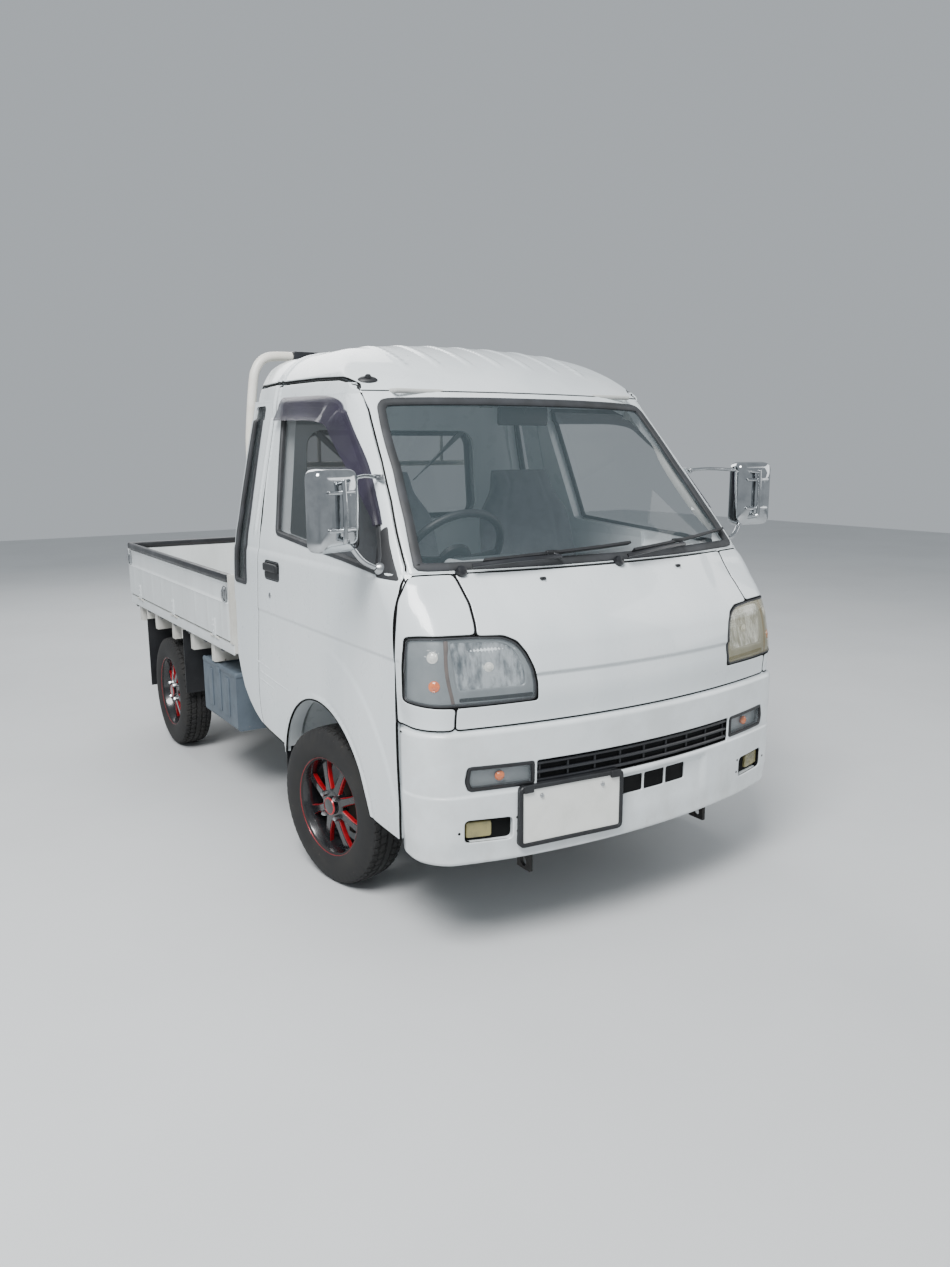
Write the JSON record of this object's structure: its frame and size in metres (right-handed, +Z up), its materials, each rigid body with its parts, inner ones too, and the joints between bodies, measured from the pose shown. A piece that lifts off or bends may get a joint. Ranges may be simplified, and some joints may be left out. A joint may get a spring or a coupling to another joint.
{
  "type": "small flat-bed truck",
  "caption": "Small cab-over flat-bed truck with a high roof, fold-down bed sides, opening doors, steered front wheels and a guard frame behind the cab.",
  "frame": {"origin": "on the ground under the middle of the truck's length and width", "axes": "+Z up, the nose points to -Y, the driver's side (the truck's right) is -X"},
  "size_m": [1.846, 3.402, 1.8753],
  "materials": {
    "white_paint": "satin, slightly dirty",
    "bed_paint": "worn satin",
    "frame_paint": "matt",
    "tank_paint": "rusty",
    "cast_metal": "rough",
    "bumper_white": "gloss",
    "trim_black": "matt",
    "box_grey": "matt",
    "dash_grey": "matt",
    "lamp_clear": "fluted",
    "lamp_red": "gloss",
    "plate_white": "satin",
    "screen_glass": "polished",
    "side_glass": "polished",
    "seal_rubber": "matt",
    "mirror_chrome": "polished",
    "seat_fabric": "woven",
    "tyre_rubber": "matt",
    "rim_black": "gloss with red edges"
  },
  "bodies": {
    "truck": {"chassis_frame": "frame_paint", "front_suspension": "cast_metal", "rear_axle": "cast_metal", "engine_block": "cast_metal", "fuel_tank": "tank_paint", "tool_box": "box_grey", "cab_body": "white_paint", "cab_roof": "white_paint", "front_panel": "white_paint", "corner_panels": "white_paint", "front_bumper": "bumper_white", "grille": "trim_black", "headlamp_right": "lamp_clear", "headlamp_left": "lamp_clear", "bumper_lamps": "lamp_clear", "front_plate": "plate_white", "windscreen": "screen_glass", "screen_seal": "seal_rubber", "rear_glass": "side_glass", "wipers": "trim_black", "seats": "seat_fabric", "dashboard": "dash_grey", "bed_floor": "bed_paint", "guard_frame": "bed_paint", "rear_lamps": "lamp_red", "mud_flaps": "seal_rubber"},
    "door_right": {"door_right": "white_paint", "door_glass_right": "side_glass", "mirror_right": "mirror_chrome"},
    "door_left": {"door_left": "white_paint", "door_glass_left": "side_glass", "mirror_left": "mirror_chrome"},
    "steer_right": {"knuckle_right": "cast_metal"},
    "steer_left": {"knuckle_left": "cast_metal"},
    "wheel_front_right": {"tyre_front_right": "tyre_rubber", "rim_front_right": "rim_black"},
    "wheel_front_left": {"tyre_front_left": "tyre_rubber", "rim_front_left": "rim_black"},
    "wheel_rear_right": {"tyre_rear_right": "tyre_rubber", "rim_rear_right": "rim_black"},
    "wheel_rear_left": {"tyre_rear_left": "tyre_rubber", "rim_rear_left": "rim_black"},
    "gate_right": {"side_gate_right": "white_paint"},
    "gate_left": {"side_gate_left": "white_paint"},
    "gate_rear": {"tailgate": "white_paint"}
  },
  "joints": [
    {"name": "door_right_hinge", "type": "hinge", "parent": "truck", "child": "door_right", "pos_m": [-0.727, -1.4055, 0.9], "axis": [0, 0, 1], "range_deg": [0, 65]},
    {"name": "door_left_hinge", "type": "hinge", "parent": "truck", "child": "door_left", "pos_m": [0.727, -1.4055, 0.9], "axis": [0, 0, -1], "range_deg": [0, 65]},
    {"name": "steer_right", "type": "hinge", "parent": "truck", "child": "steer_right", "pos_m": [-0.5805, -0.8525, 0.275], "axis": [0.1908, 0, 0.9816], "range_deg": [-40, 20]},
    {"name": "steer_left", "type": "hinge", "parent": "truck", "child": "steer_left", "pos_m": [0.5805, -0.8525, 0.275], "axis": [-0.1908, 0, 0.9816], "range_deg": [-40, 20]},
    {"name": "wheel_front_right_spin", "type": "hinge", "parent": "steer_right", "child": "wheel_front_right", "pos_m": [-0.65145, -0.86477, 0.2748], "axis": [0.9854, 0.1705, 0.0028], "continuous": true},
    {"name": "wheel_front_left_spin", "type": "hinge", "parent": "steer_left", "child": "wheel_front_left", "pos_m": [0.65145, -0.84023, 0.2748], "axis": [0.9854, 0.1705, -0.0028], "continuous": true},
    {"name": "wheel_rear_right_spin", "type": "hinge", "parent": "truck", "child": "wheel_rear_right", "pos_m": [-0.65, 1.0475, 0.275], "axis": [1, 0, 0], "continuous": true},
    {"name": "wheel_rear_left_spin", "type": "hinge", "parent": "truck", "child": "wheel_rear_left", "pos_m": [0.65, 1.0475, 0.275], "axis": [1, 0, 0], "continuous": true},
    {"name": "gate_right_hinge", "type": "hinge", "parent": "truck", "child": "gate_right", "pos_m": [-0.732, 0.85, 0.699], "axis": [0, -1, 0], "range_deg": [0, 170]},
    {"name": "gate_left_hinge", "type": "hinge", "parent": "truck", "child": "gate_left", "pos_m": [0.732, 0.85, 0.699], "axis": [0, 1, 0], "range_deg": [0, 170]},
    {"name": "gate_rear_hinge", "type": "hinge", "parent": "truck", "child": "gate_rear", "pos_m": [0, 1.6895, 0.699], "axis": [-1, 0, 0], "range_deg": [0, 170]}
  ],
  "couplings": [
    {"joint": "steer_left", "follows": "steer_right", "ratio": 1}
  ]
}
